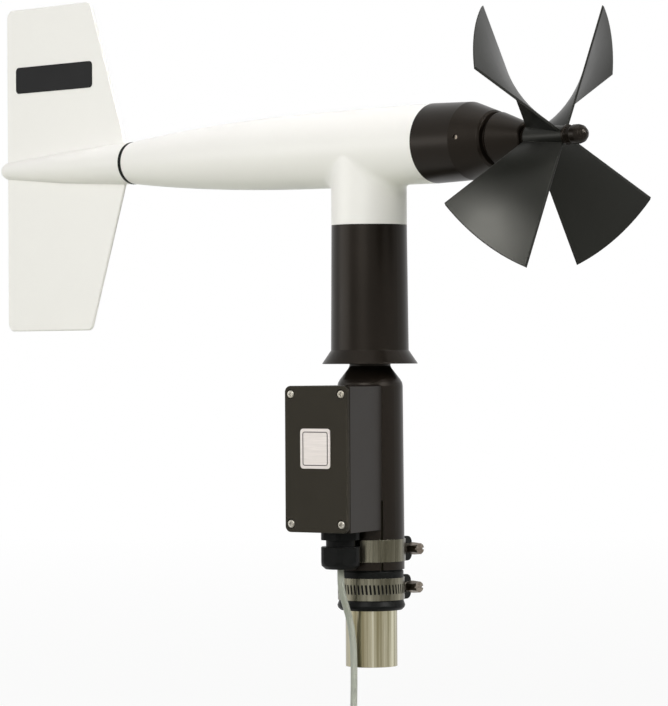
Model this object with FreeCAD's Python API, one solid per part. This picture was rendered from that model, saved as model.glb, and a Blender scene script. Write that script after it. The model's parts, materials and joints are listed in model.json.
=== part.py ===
import FreeCAD, Part
import math
import os

# Wind monitor: a propeller turns on the nose of a vane-steered body, and the body
# turns on a fixed post that is clamped to a steel mast pipe.
# Origin: centre of the mast pipe's lower end. +Z is up the mast, +X is the way the
# nose points. All sizes are in millimetres and all angles in degrees.

# Mast pipe and mounting post
pipe_outer_r = 16.7
pipe_bore_r = 13.3
pipe_length = 116.0
post_bottom = 62.4
post_clamp_r = 21.6
post_top_r = 21.1
post_clamp_top = 86.0
shoulder_height = 180.4
shoulder_rise = 4.2
shoulder_chamfer = 1.6
neck_r = 13.3
neck_bottom = 192.4
neck_top = 206.0
neck_fillet = 0.8
wire_way_r = 6.0
slot_width = 1.5
slot_top = 107.0
slot_turns = (-52.7, 52.7, 180.0)

# Junction box on the side of the post
box_heading = -79.0
box_face = 63.0
box_cover_width = 47.2
box_cover_height = 92.6
box_bottom = 88.4
box_root_width = 34.0
box_wall = 2.6
box_back_wall = 1.6
box_edge_r = 1.2
cover_thickness = 3.0
cover_corner = 4.0
cover_edge_r = 0.7
gasket_thickness = 0.8
gasket_setback = 0.5
gasket_band = 9.0
cover_screw_inset = 4.5
cover_screw_end_inset = 5.3
cover_screw_r = 1.4
cover_screw_head_r = 2.7
cover_screw_head = 1.7
cover_screw_proud = 0.2
cover_screw_length = 12.0
screw_cross = 2.8
screw_cross_width = 0.6
boss_r = 3.6
boss_depth = 12.0
plate_width = 22.6
plate_height = 25.2
plate_thickness = 0.5
plate_corner = 2.2
plate_height_above_floor = 53.0
board_reach = 30.4
board_thickness = 1.6
board_width = 26.0
board_margin = 13.0
board_foot_width = 20.0
board_foot_height = 3.0
terminal_depth = 9.0
terminal_width = 22.0
terminal_height = 12.0
terminal_pitch = 4.2
terminal_count = 5

# Cable gland and signal cable
gland_reach = 35.3
gland_flats = 24.2
gland_flange = 5.6
gland_neck = 4.4
gland_neck_r = 9.3
gland_nut_height = 14.2
gland_thread_r = 7.8
gland_thread_length = 8.0
gland_corner = 0.9
seal_wall = 2.6
nut_lip = 2.4
thread_overlap = 8.0
cable_r = 2.2
cable_bend_share = 0.45

# Clamps and orientation ring
band_width = 14.2
band_thickness = 0.65
upper_band_bottom = 67.7
lower_band_bottom = 42.9
ring_bottom = 36.3
ring_flange = 5.9
ring_body_r = 20.9
ring_flange_r = 21.9
ring_body_top = 61.6
ring_collar_r = 20.2
ring_gap = 0.1
band_slots = 44
band_slot_height = 6.2
band_slot_width = 1.3
band_slot_lean = 6.0
clamp_housing_length = 15.0
clamp_housing_height = 16.0
clamp_housing_depth = 8.6
clamp_housing_crown = 4.2
clamp_screw_r = 2.8
clamp_screw_reach = 4.4
clamp_collar_r = 3.4
clamp_collar_width = 1.6
clamp_waist_r = 3.0
clamp_head_flats = 6.9
clamp_head_length = 8.8
clamp_slot = 1.1
upper_clamp_heading = 91.3
lower_clamp_heading = 92.0

# Turning head
axis_height = 334.0
sleeve_drop = 50.0
sleeve_r = 24.4
sleeve_bore_r = 21.8
housing_wall = 2.4
housing_rear = -224.7
housing_rear_r = 14.6
housing_mid_r = 22.6
housing_front = 60.5
housing_front_r = 25.4
blend_r = 9.0
skirt_bottom = 194.6
skirt_flare_top = 203.4
skirt_flare_r = 30.7
skirt_foot_r = 25.1
skirt_wall = 2.0
skirt_spigot = 3.6

# Vertical shaft, its bearings and the azimuth sensor
shaft_r = 7.5
shaft_bore_r = 4.5
shaft_stub = 5.0
shaft_seat_depth = 56.0
shaft_collar = 2.2
shaft_collar_height = 4.0
yaw_bearing_r = 13.0
yaw_bearing_height = 7.0
lower_bearing_bottom = 216.0
upper_bearing_rise = 4.0
web_height = 10.0
sensor_r = 10.0
sensor_height = 11.0
spindle_r = 1.5
spindle_reach = 9.0

# Tail
joint_ring_width = 3.0
joint_spigot = 5.0
joint_spigot_r = 11.4
tail_mid = -300.0
tail_mid_r = 10.9
tail_end = -366.5
tail_tip_r = 5.8
vane_half_height = 115.2
vane_thickness = 2.2
vane_rear = -362.2
vane_shoulder = -271.4
vane_root = -234.8
vane_root_rise = 13.0
vane_corner = 6.0
vane_bevel = 0.7
panel_width = 82.4
panel_height = 18.6
panel_rise = 55.0
panel_setback = 10.6
panel_corner = 3.0
panel_thickness = 0.5

# Nose and propeller shaft
nose_straight_end = 92.0
nose_end = 111.8
nose_end_r = 17.7
nose_boss_r = 13.6
nose_wall = 2.6
nose_spigot = 8.0
nose_bulkhead = 12.0
nose_screw_r = 1.5
nose_screw_depth = 2.4
nose_screw_place = 97.0
nose_screw_heading = 3.0
prop_shaft_r = 3.2
prop_shaft_rear = 66.0
prop_bearing_r = 9.0
prop_bearing_width = 6.0
magnet_r = 9.0
magnet_rear = 78.0
magnet_width = 8.0
cone_gap = 3.6
cone_end = 137.0
cone_end_r = 9.6
washer_r = 6.6
washer_thickness = 1.0

# Propeller: four blades cut from one right-handed helicoid about +X
blade_count = 4
blade_tip_r = 89.2
helix_pitch = 274.4
blade_sweep = 36.6
blade_rest_angle = 47.5
blade_root_thickness = 1.7
blade_tip_thickness = 1.8
blade_stations = 7
blade_root_bury = 2.0
hub_lip = 1.6
hub_rear_r = 7.0
hub_front_r = 6.0
nut_flats = 10.4
nut_height = 5.4
nut_flange_r = 6.3
nut_flange = 1.6
dome_r = 6.0
dome_length = 10.6

# Clearances
running = 0.05
seat = 0.02
face_gap = 0.3

sleeve_bottom = axis_height - sleeve_drop
upper_bearing_bottom = sleeve_bottom + upper_bearing_rise
shaft_top = upper_bearing_bottom + yaw_bearing_height + shaft_stub

UP = FreeCAD.Vector(0, 0, 1)
NOSE = FreeCAD.Vector(1, 0, 0)
ORIGIN = FreeCAD.Vector(0, 0, 0)
AXIS_POINT = FreeCAD.Vector(0, 0, axis_height)


def vec(x, y, z):
    return FreeCAD.Vector(x, y, z)


def save(node, shape):
    shape.exportStep("parts/" + node + ".step")
    print(node, "volume", round(shape.Volume), "valid", shape.isValid())


def rod(radius, bottom, top):
    return Part.makeCylinder(radius, top - bottom, vec(0, 0, bottom), UP)


def tube(outer_r, inner_r, bottom, top):
    return rod(outer_r, bottom, top).cut(rod(inner_r, bottom, top))


def x_rod(radius, rear, front):
    return Part.makeCylinder(radius, front - rear, vec(rear, 0, axis_height), NOSE)


def x_tube(outer_r, inner_r, rear, front):
    return x_rod(outer_r, rear, front).cut(x_rod(inner_r, rear, front))


def turned(outline):
    """Solid of revolution about the mast axis from (radius, height) corners."""
    corners = [vec(radius, 0, height) for radius, height in outline]
    face = Part.Face(Part.makePolygon(corners + corners[:1]))
    return face.revolve(ORIGIN, UP, 360)


def x_turned(outline):
    """Solid of revolution about the propeller axis from (x, radius) corners."""
    corners = [vec(x, 0, axis_height + radius) for x, radius in outline]
    face = Part.Face(Part.makePolygon(corners + corners[:1]))
    return face.revolve(AXIS_POINT, NOSE, 360)


def hexagon(flats, bottom, height):
    corner_r = flats / math.sqrt(3)
    corners = []
    for i in range(6):
        turn = math.radians(60 * i + 30)
        corners.append(vec(corner_r * math.cos(turn), corner_r * math.sin(turn), bottom))
    face = Part.Face(Part.makePolygon(corners + corners[:1]))
    return face.extrude(vec(0, 0, height))


def prism(corners, height):
    face = Part.Face(Part.makePolygon(corners + corners[:1]))
    return face.extrude(vec(0, 0, height))


def block(size_x, size_y, size_z, centre_x, centre_y, bottom):
    corner = vec(centre_x - size_x / 2, centre_y - size_y / 2, bottom)
    return Part.makeBox(size_x, size_y, size_z, corner)


def rounded_plate(width, height, thickness, corner_r, back, bottom):
    """Plate that faces +X, with its back face at x = back and rounded corners."""
    plate = Part.makeBox(thickness, width, height, vec(back, -width / 2, bottom))
    corners = [e for e in plate.Edges if abs(e.tangentAt(0).x) > 0.9]
    return plate.makeFillet(corner_r, corners)


def on_box(shape):
    """Turn a piece drawn with the box facing +X round to the box's heading."""
    return shape.rotated(ORIGIN, UP, box_heading)


# ---------------------------------------------------------------- fixed body
def make_mast_pipe():
    return tube(pipe_outer_r, pipe_bore_r, 0, pipe_length)


def post_radius(height):
    """The post tapers gently from the clamped foot up to the shoulder."""
    share = (height - post_clamp_top) / (shoulder_height - post_clamp_top)
    return post_clamp_r + (post_top_r - post_clamp_r) * max(0.0, share)


def box_side(reach):
    """Half width of the box at a distance from the mast axis: its walls have draft."""
    root = math.sqrt(post_clamp_r ** 2 - (box_root_width / 2) ** 2)
    share = (reach - root) / (box_face - root)
    return box_root_width / 2 + (box_cover_width - box_root_width) / 2 * share


def box_plan(near, far, inset, bottom, height):
    """Block between two reaches that follows the box's drafted sides."""
    corners = [vec(near, inset - box_side(near), bottom),
               vec(far, inset - box_side(far), bottom),
               vec(far, box_side(far) - inset, bottom),
               vec(near, box_side(near) - inset, bottom)]
    return prism(corners, height)


cover_back = box_face - cover_thickness
box_front = cover_back - gasket_thickness
box_top = box_bottom + box_cover_height
screw_across = box_cover_width / 2 - cover_screw_inset
screw_heights = [box_bottom + cover_screw_end_inset, box_top - cover_screw_end_inset]
screw_places = [(side * screw_across, height) for side in (-1, 1) for height in screw_heights]
box_back_r = post_clamp_r + box_back_wall
screw_head_back = box_face + cover_screw_proud - cover_screw_head
shaft_foot = neck_top - shaft_seat_depth


def make_mounting_post():
    bore_r = pipe_outer_r + running
    rim_r = post_top_r - shoulder_chamfer
    outside = turned([(0, post_bottom), (post_clamp_r, post_bottom),
                      (post_clamp_r, post_clamp_top), (post_top_r, shoulder_height),
                      (post_top_r - shoulder_chamfer / 4, shoulder_height + shoulder_rise / 2),
                      (rim_r, shoulder_height + shoulder_rise),
                      (neck_r + neck_fillet, neck_bottom - neck_fillet), (neck_r, neck_bottom + neck_fillet),
                      (neck_r, neck_top), (0, neck_top)])
    box = box_plan(box_root_width / 4, box_front, 0, box_bottom, box_cover_height)
    long_edges = [e for e in box.Edges
                  if abs(e.tangentAt(0).z) > 0.9 and e.CenterOfMass.x > box_face / 2]
    top_edges = [e for e in box.Edges
                 if abs(e.CenterOfMass.z - box_top) < box_edge_r
                 and abs(e.CenterOfMass.y) > box_root_width / 4]
    box = box.makeFillet(box_edge_r, long_edges + top_edges)
    inside = box_plan(box_root_width / 2, box_face, box_wall,
                      box_bottom + box_wall, box_cover_height - 2 * box_wall)
    inside = inside.cut(rod(box_back_r, box_bottom, box_top))
    shape = outside.fuse(on_box(box.cut(inside)))
    boss_room = box_plan(box_face / 3, box_front, box_edge_r / 3, box_bottom + box_edge_r / 3,
                         box_cover_height - box_edge_r * 2 / 3)
    for across, height in screw_places:
        boss = Part.makeCylinder(boss_r, boss_depth, vec(box_front - boss_depth, across, height), NOSE)
        hole = Part.makeCylinder(cover_screw_r + seat, boss_depth,
                                 vec(box_front - boss_depth + box_wall / 2, across, height), NOSE)
        shape = shape.fuse(on_box(boss.common(boss_room))).cut(on_box(hole))
    shape = shape.cut(rod(bore_r, post_bottom - 1, pipe_length + seat))
    shape = shape.cut(rod(wire_way_r, pipe_length, neck_top + 1))
    shape = shape.cut(rod(shaft_r + seat, shaft_foot, neck_top + 1))
    gland_hole = Part.makeCylinder(gland_thread_r + seat, 2 * box_wall,
                                   vec(gland_reach, 0, box_bottom - 1), UP)
    wire_hole = Part.makeCylinder(wire_way_r / 2, board_reach - box_wall,
                                  vec(0, 0, (pipe_length + shaft_foot) / 2), NOSE)
    shape = shape.cut(on_box(gland_hole)).cut(on_box(wire_hole))
    slot_reach = 2 * (post_clamp_r - bore_r)
    for turn in slot_turns:
        slit = block(slot_reach, slot_width, slot_top - post_bottom + 1,
                     bore_r + slot_reach / 2 - 1, 0, post_bottom - 1)
        shape = shape.cut(slit.rotated(ORIGIN, UP, box_heading + turn))
    return shape.removeSplitter()


def cover_screw_hole(near, far, across, height):
    return Part.makeCylinder(cover_screw_r + face_gap, far - near, vec(near, across, height), NOSE)


def make_box_cover():
    cover = rounded_plate(box_cover_width, box_cover_height, cover_thickness,
                          cover_corner, cover_back, box_bottom)
    rim = [e for e in cover.Edges if e.BoundBox.XMin > box_face - cover_edge_r / 2]
    cover = cover.makeFillet(cover_edge_r, rim)
    for across, height in screw_places:
        seat_hole = Part.makeCylinder(cover_screw_head_r + face_gap, cover_thickness,
                                      vec(screw_head_back - seat, across, height), NOSE)
        cover = cover.cut([cover_screw_hole(cover_back - 1, box_face, across, height), seat_hole])
    return on_box(cover)


def make_cover_gasket():
    width = box_cover_width - 2 * gasket_setback
    height = box_cover_height - 2 * gasket_setback
    gasket = rounded_plate(width, height, gasket_thickness, cover_corner, box_front,
                           box_bottom + gasket_setback)
    window = rounded_plate(width - 2 * gasket_band, height - 2 * gasket_band, 3 * gasket_thickness,
                           cover_corner, box_front - gasket_thickness,
                           box_bottom + gasket_setback + gasket_band)
    gasket = gasket.cut(window)
    for across, height in screw_places:
        gasket = gasket.cut(cover_screw_hole(box_front - 1, cover_back + 1, across, height))
    return on_box(gasket)


def make_cover_screws():
    """Domed cross-head screws, let into the cover so that their heads are all but flush."""
    screws = []
    head_front = screw_head_back + cover_screw_head
    for across, height in screw_places:
        shank = Part.makeCylinder(cover_screw_r, cover_screw_length,
                                  vec(head_front - cover_screw_length, across, height), NOSE)
        head = Part.makeCylinder(cover_screw_head_r, cover_screw_head,
                                 vec(screw_head_back, across, height), NOSE)
        rim = [e for e in head.Edges if e.BoundBox.XMin > head_front - screw_cross_width / 4]
        head = head.makeFillet(cover_screw_head / 2, rim)
        screw = shank.fuse(head)
        for size_y, size_z in ((screw_cross, screw_cross_width), (screw_cross_width, screw_cross)):
            cross = Part.makeBox(cover_screw_head, size_y, size_z,
                                 vec(head_front - cover_screw_head / 2,
                                     across - size_y / 2, height - size_z / 2))
            screw = screw.cut(cross)
        screws.append(on_box(screw))
    return Part.makeCompound(screws)


def make_blank_plate():
    bottom = box_bottom + plate_height_above_floor - plate_height / 2
    plate = rounded_plate(plate_width, plate_height, plate_thickness, plate_corner, box_face, bottom)
    return on_box(plate)


board_bottom = box_bottom + box_wall + board_margin
board_height = box_cover_height - 2 * (box_wall + board_margin)
board_front = board_reach + board_thickness
terminal_bottom = board_bottom + board_height / 4


def make_terminal_board():
    """Circuit board inside the box, on a foot that stands on the wall in front of the post."""
    board = block(board_thickness, board_width, board_height,
                  board_reach + board_thickness / 2, 0, board_bottom)
    foot_back = box_back_r - box_wall
    foot = block(board_reach - foot_back, board_foot_width, board_foot_height,
                 (board_reach + foot_back) / 2, 0, board_bottom + board_height / 3)
    foot = foot.cut(rod(box_back_r + seat, box_bottom, box_top))
    return on_box(board.fuse(foot))


def make_terminal_block():
    base = block(terminal_depth, terminal_width, terminal_height,
                 board_front + terminal_depth / 2, 0, terminal_bottom)
    hole_r = terminal_pitch / 4
    for i in range(terminal_count):
        place = (i - (terminal_count - 1) / 2) * terminal_pitch
        wire_hole = Part.makeCylinder(hole_r, terminal_height / 2,
                                      vec(board_front + terminal_depth / 2, place,
                                          terminal_bottom - 1), UP)
        screw_hole = Part.makeCylinder(hole_r, terminal_depth,
                                       vec(board_front + terminal_depth * 2 / 3, place,
                                           terminal_bottom + terminal_height * 2 / 3), NOSE)
        base = base.cut([wire_hole, screw_hole])
    return on_box(base)


gland_floor = box_bottom
gland_nut_top = gland_floor - gland_flange - gland_neck
gland_bottom = gland_nut_top - gland_nut_height


gland_corner_r = gland_flats / 2 + gland_corner
gland_thread_top = gland_floor + gland_thread_length


def at_gland(shape):
    return on_box(shape.translated(vec(gland_reach, 0, 0)))


def make_gland_body():
    flange = hexagon(gland_flats, gland_floor - gland_flange, gland_flange)
    flange = flange.common(rod(gland_corner_r, gland_floor - gland_flange, gland_floor))
    neck = rod(gland_neck_r, gland_nut_top - thread_overlap, gland_floor)
    thread = rod(gland_thread_r, gland_floor, gland_thread_top)
    cable_way = rod(cable_r + 2 * face_gap, gland_bottom, gland_thread_top + 1)
    return at_gland(flange.fuse([neck, thread]).cut(cable_way))


def make_gland_nut():
    nut = hexagon(gland_flats, gland_bottom, gland_nut_height)
    crown = gland_nut_height / 3
    barrel = turned([(0, gland_bottom), (gland_corner_r - crown * 0.7, gland_bottom),
                     (gland_corner_r - gland_corner, gland_bottom + crown * 0.45),
                     (gland_corner_r, gland_bottom + crown),
                     (gland_corner_r, gland_nut_top), (0, gland_nut_top)])
    nut = nut.common(barrel)
    nut = nut.cut(rod(gland_neck_r + running, gland_nut_top - thread_overlap, gland_nut_top + 1))
    nut = nut.cut(rod(cable_r + seal_wall + seat, gland_bottom + nut_lip, gland_nut_top))
    return at_gland(nut.cut(rod(cable_r + face_gap, gland_bottom - 1, gland_nut_top)))


def make_gland_seal():
    """Rubber bush squeezed round the cable inside the nut."""
    top = gland_nut_top - thread_overlap
    return at_gland(tube(cable_r + seal_wall, cable_r + seat, gland_bottom + nut_lip, top))


def make_band(inner_r, bottom, heading, slots):
    band = tube(inner_r + band_thickness, inner_r, bottom, bottom + band_width)
    middle = bottom + band_width / 2
    cutters = []
    for i in range(slots):
        slot = block(4, band_slot_width, band_slot_height, inner_r, 0,
                     middle - band_slot_height / 2)
        slot = slot.rotated(vec(0, 0, middle), NOSE, band_slot_lean)
        turn = heading - 34 - i * 7.0
        cutters.append(slot.rotated(ORIGIN, UP, turn))
    return band.cut(cutters)


def make_clamp_housing(inner_r, bottom, heading):
    """Worm-drive housing drawn at +X, with its screw along -Y, then turned to its heading."""
    outer_r = inner_r + band_thickness
    middle = bottom + band_width / 2
    half = clamp_housing_length / 2
    root = outer_r - 2 * band_thickness
    body = Part.makeBox(outer_r + clamp_housing_depth - root, clamp_housing_length,
                        clamp_housing_height, vec(root, -half, middle - clamp_housing_height / 2))
    crown = [e for e in body.Edges
             if abs(e.tangentAt(0).y) > 0.9 and e.CenterOfMass.x > outer_r + band_thickness]
    body = body.makeFillet(clamp_housing_crown, crown)
    body = body.cut(rod(outer_r + seat, bottom - band_width, bottom + 2 * band_width))
    way = Part.makeCylinder(clamp_screw_r + running, clamp_housing_length + 2,
                            vec(outer_r + clamp_screw_reach, half + 1, middle), vec(0, -1, 0))
    return body.cut(way).rotated(ORIGIN, UP, heading)


def make_clamp_screw(inner_r, bottom, heading):
    middle = bottom + band_width / 2
    half = clamp_housing_length / 2
    centre = inner_r + band_thickness + clamp_screw_reach
    collar_end = half + clamp_collar_width
    head_start = collar_end + clamp_collar_width / 2
    shank = rod(clamp_screw_r, -half, head_start)
    collar = rod(clamp_collar_r, half + seat, collar_end)
    waist = rod(clamp_waist_r, collar_end, head_start)
    head = hexagon(clamp_head_flats, head_start, clamp_head_length)
    dome = Part.makeCone(clamp_head_flats * 0.62, clamp_head_flats * 0.52, clamp_head_length,
                         vec(0, 0, head_start), UP)
    slot = block(2 * clamp_head_flats, clamp_slot, 2 * clamp_slot, 0, 0,
                 head_start + clamp_head_length - clamp_slot)
    screw = shank.fuse([collar, waist, head.common(dome).cut(slot)])
    screw = screw.rotated(ORIGIN, NOSE, 90).translated(vec(centre, 0, middle))
    return screw.rotated(ORIGIN, UP, heading)


def make_orientation_ring():
    top = post_bottom - ring_gap
    flange_top = ring_bottom + ring_flange
    bore = pipe_outer_r + running
    lean = ring_flange_r - ring_body_r
    ring = turned([(bore, ring_bottom), (ring_flange_r - 2 * lean, ring_bottom),
                   (ring_flange_r - lean / 2, ring_bottom + ring_flange / 4),
                   (ring_flange_r, ring_bottom + ring_flange / 2),
                   (ring_flange_r - lean / 2, ring_bottom + ring_flange * 3 / 4),
                   (ring_body_r, flange_top), (ring_body_r, ring_body_top - lean / 2),
                   (ring_body_r - lean / 2, ring_body_top), (ring_collar_r, ring_body_top),
                   (ring_collar_r, top), (bore, top)])
    key_depth = post_clamp_r - bore - slot_width
    key = block(key_depth, slot_width - face_gap, 2 * ring_flange,
                bore + face_gap + key_depth / 2, 0, top - ring_flange)
    ring = ring.fuse(key.rotated(ORIGIN, UP, box_heading + 180))
    split = block(ring_flange_r, slot_width, top - ring_bottom + 2, ring_flange_r, 0,
                  ring_bottom - 1)
    return ring.cut(split.rotated(ORIGIN, UP, box_heading + 150))


def make_vertical_shaft():
    shaft = tube(shaft_r, shaft_bore_r, shaft_foot, shaft_top)
    collar_top = lower_bearing_bottom - face_gap
    collar = tube(shaft_r + shaft_collar, shaft_bore_r, collar_top - shaft_collar_height, collar_top)
    return shaft.fuse(collar)


def make_azimuth_sensor():
    body = rod(sensor_r, shaft_top, shaft_top + sensor_height)
    plug = rod(shaft_bore_r - seat, shaft_top - 6, shaft_top)
    nose = rod(3.5, shaft_top, shaft_top + sensor_height + 2)
    spindle = rod(spindle_r, shaft_top, shaft_top + sensor_height + spindle_reach)
    return body.fuse([plug, nose, spindle])


# --------------------------------------------------------------- turning head
def spline_profile(stations, inset):
    points = [vec(x, 0, axis_height + radius - inset) for x, radius in stations]
    curve = Part.BSplineCurve()
    curve.interpolate(points)
    return curve.toShape(), points


def hull(stations, inset):
    """Solid of revolution about the propeller axis under a smooth curve."""
    top, points = spline_profile(stations, inset)
    rear = vec(points[0].x, 0, axis_height)
    front = vec(points[-1].x, 0, axis_height)
    sides = [Part.makeLine(rear, points[0]), Part.makeLine(points[-1], front),
             Part.makeLine(front, rear)]
    face = Part.Face(Part.Wire([sides[0], top, sides[1], sides[2]]))
    return face.revolve(AXIS_POINT, NOSE, 360)


body_stations = [(housing_rear, housing_rear_r), (-180, 18.9), (-121, housing_mid_r),
                 (-52, 24.7), (0, 25.1), (housing_front, housing_front_r)]
web_bottom = upper_bearing_bottom


def bearing_web(inner_r, bottom):
    """Flat web that holds a bearing from outside, with a ledge over the bearing."""
    ledge_bottom = bottom + yaw_bearing_height
    web = tube(inner_r + skirt_wall / 4, yaw_bearing_r + seat, bottom, bottom + web_height)
    ledge = tube(yaw_bearing_r + 1, yaw_bearing_r - skirt_wall, ledge_bottom, bottom + web_height)
    return [web, ledge]


def make_main_housing():
    skin = hull(body_stations, 0)
    sleeve = rod(sleeve_r, sleeve_bottom, axis_height)
    shape = skin.fuse(sleeve)
    seam = [e for e in shape.Edges
            if e.BoundBox.ZMax < axis_height - housing_wall
            and e.BoundBox.ZMin > sleeve_bottom + blend_r and e.BoundBox.XLength < 3 * sleeve_r]
    shape = shape.makeFillet(blend_r, seam)
    hollow = hull(body_stations, housing_wall)
    room = x_rod(2 * housing_front_r, housing_rear + joint_spigot + 1, housing_front + 1)
    shape = shape.cut(hollow.common(room))
    shape = shape.cut(rod(sleeve_bore_r, sleeve_bottom - 1, axis_height))
    shape = shape.cut(x_rod(joint_spigot_r + seat, housing_rear - 1, housing_rear + joint_spigot))
    return shape.fuse(bearing_web(sleeve_bore_r, web_bottom)).removeSplitter()


def make_housing_skirt():
    top = sleeve_bottom
    spigot_r = sleeve_bore_r - seat
    inner_r = spigot_r - skirt_wall
    lip = skirt_wall / 4
    profile = [(inner_r, top + skirt_spigot), (spigot_r, top + skirt_spigot), (spigot_r, top),
               (sleeve_r - seat, top), (skirt_foot_r, skirt_flare_top),
               (skirt_flare_r, skirt_bottom + lip), (skirt_flare_r, skirt_bottom),
               (skirt_flare_r - skirt_wall, skirt_bottom), (inner_r + skirt_wall, skirt_flare_top),
               (inner_r, lower_bearing_bottom - skirt_wall)]
    return turned(profile).fuse(bearing_web(inner_r, lower_bearing_bottom)).removeSplitter()


def make_bearing(bore_r, outer_r, width):
    """Shielded ball bearing standing on z = 0 about the Z axis."""
    ring = rod(outer_r, 0, width).cut(rod(bore_r, 0, width))
    mid = (bore_r + outer_r) / 2
    groove = (outer_r - bore_r) * 0.22
    for low in (-0.1, width - 0.5):
        ring = ring.cut(rod(mid + groove, low, low + 0.6).cut(rod(mid - groove, low, low + 0.6)))
    return ring


def make_yaw_bearing(bottom):
    bearing = make_bearing(shaft_r + running, yaw_bearing_r, yaw_bearing_height)
    return bearing.translated(vec(0, 0, bottom))


def make_sensor_coupling():
    """Bridge over the sensor that turns its spindle with the housing."""
    low = web_bottom + web_height
    pillar_r = sensor_r / 4
    pillar_reach = sensor_r + 2 * pillar_r
    bar_low = shaft_top + sensor_height + pillar_r
    bar = block(2 * (pillar_reach + pillar_r), 3 * pillar_r, pillar_r, 0, 0, bar_low)
    pillars = [Part.makeCylinder(pillar_r, bar_low - low, vec(side * pillar_reach, 0, low), UP)
               for side in (-1, 1)]
    boss = rod(3 * spindle_r, bar_low, bar_low + 2 * pillar_r)
    spindle_way = rod(spindle_r + running, bar_low - 1, bar_low + 2 * pillar_r + 1)
    return bar.fuse(pillars + [boss]).cut(spindle_way)


def make_tail_joint_ring():
    rear = housing_rear - joint_ring_width
    ring = x_rod(housing_rear_r + running, rear, housing_rear)
    spigots = x_rod(joint_spigot_r, rear - joint_spigot, housing_rear + joint_spigot)
    return ring.fuse(spigots)


def make_tail_vane():
    front = housing_rear - joint_ring_width
    boom = x_turned([(front, 0), (front, housing_rear_r), (tail_mid, tail_mid_r),
                     (tail_end + 0.7 * tail_tip_r, tail_tip_r),
                     (tail_end + 0.3 * tail_tip_r, 0.8 * tail_tip_r),
                     (tail_end, 0.4 * tail_tip_r), (tail_end, 0)])
    half = vane_thickness / 2
    half_outline = [(vane_rear, vane_half_height), (vane_shoulder, vane_half_height),
                    (vane_root, vane_root_rise)]
    corners = [vec(x, -half, axis_height + rise) for x, rise in half_outline]
    corners += [vec(x, -half, axis_height - rise) for x, rise in reversed(half_outline)]
    face = Part.Face(Part.makePolygon(corners + corners[:1]))
    fin = face.extrude(vec(0, vane_thickness, 0))
    outer = [e for e in fin.Edges if abs(e.tangentAt(0).y) > 0.9
             and abs(e.CenterOfMass.z - axis_height) > vane_half_height / 2]
    fin = fin.makeFillet(vane_corner, outer)
    rims = [e for e in fin.Edges if abs(e.CenterOfMass.y) > half - seat]
    fin = fin.makeChamfer(vane_bevel, rims)
    socket = x_rod(joint_spigot_r + seat, front - joint_spigot, front + 1)
    return boom.fuse(fin).cut(socket).removeSplitter()


def make_vane_panel():
    """Bare dark panel fixed to the upper half of the vane, on one face."""
    panel = Part.makeBox(panel_width, panel_thickness, panel_height,
                         vec(vane_rear + panel_setback, -vane_thickness / 2 - panel_thickness,
                             axis_height + panel_rise))
    corners = [e for e in panel.Edges if abs(e.tangentAt(0).y) > 0.9]
    return panel.makeFillet(panel_corner, corners)


nose_liner_r = housing_front_r - housing_wall - face_gap
nose_inner_r = nose_liner_r - nose_wall
nose_lean = math.radians(nose_screw_heading)
nose_screw_line = vec(0, -math.cos(nose_lean), math.sin(nose_lean))
nose_taper = (housing_front_r - nose_end_r) / (nose_end - nose_straight_end)
nose_screw_face = housing_front_r - nose_taper * (nose_screw_place - nose_straight_end) - nose_wall / 2
nose_screw_tip = (vec(nose_screw_place, 0, axis_height)
                  + nose_screw_line * (nose_screw_face - nose_screw_depth))


def make_nose_cone():
    rear = housing_front
    bulkhead = nose_end - nose_bulkhead
    lip = nose_wall / 2
    shell = x_turned([(rear - nose_spigot, nose_inner_r), (rear - nose_spigot, nose_liner_r),
                      (rear, nose_liner_r), (rear, housing_front_r),
                      (nose_straight_end, housing_front_r - nose_wall / 3),
                      (nose_straight_end + lip, housing_front_r - nose_wall / 2),
                      (nose_end - lip, nose_end_r + lip / 2), (nose_end, nose_end_r - lip / 2),
                      (nose_end, nose_boss_r), (nose_end + cone_gap / 2, nose_boss_r),
                      (nose_end + cone_gap / 2, 0), (bulkhead, 0), (bulkhead, nose_end_r - lip),
                      (nose_straight_end - nose_wall, nose_inner_r)])
    for place in (nose_end - prop_bearing_width, bulkhead - 1):
        shell = shell.cut(x_rod(prop_bearing_r + seat, place, place + prop_bearing_width + 1))
    shell = shell.cut(x_rod(prop_shaft_r + nose_wall, bulkhead - 1, nose_end + cone_gap))
    hole = Part.makeCylinder(nose_screw_r + seat, 2 * nose_screw_depth,
                             nose_screw_tip - nose_screw_line, nose_screw_line)
    return shell.cut(hole)


def make_nose_screw():
    """Small screw in the flank of the nose cone."""
    return Part.makeCylinder(nose_screw_r, nose_screw_depth, nose_screw_tip, nose_screw_line)


hub_start = cone_end + washer_thickness
blade_reach = helix_pitch * blade_sweep / 720
blade_middle = hub_start + hub_lip + blade_reach
hub_end = blade_middle + blade_reach + hub_lip
nut_rear = hub_end + seat
dome_start = nut_rear + nut_height


def make_prop_shaft():
    return x_rod(prop_shaft_r, prop_shaft_rear, dome_start + prop_shaft_r)


def make_prop_bearing(rear):
    bearing = make_bearing(prop_shaft_r + running, prop_bearing_r, prop_bearing_width - face_gap)
    bearing = bearing.rotated(ORIGIN, vec(0, 1, 0), 90)
    return bearing.translated(vec(rear, 0, axis_height))


def make_magnet_ring():
    ring = x_tube(magnet_r, prop_shaft_r + seat, magnet_rear, magnet_rear + magnet_width)
    groove_width = magnet_r / 8
    groove = Part.makeBox(magnet_width + 2, groove_width, groove_width,
                          vec(magnet_rear - 1, -groove_width / 2,
                              axis_height + magnet_r - groove_width / 2))
    return ring.cut([groove.rotated(AXIS_POINT, NOSE, 60 * i) for i in range(6)])


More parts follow.
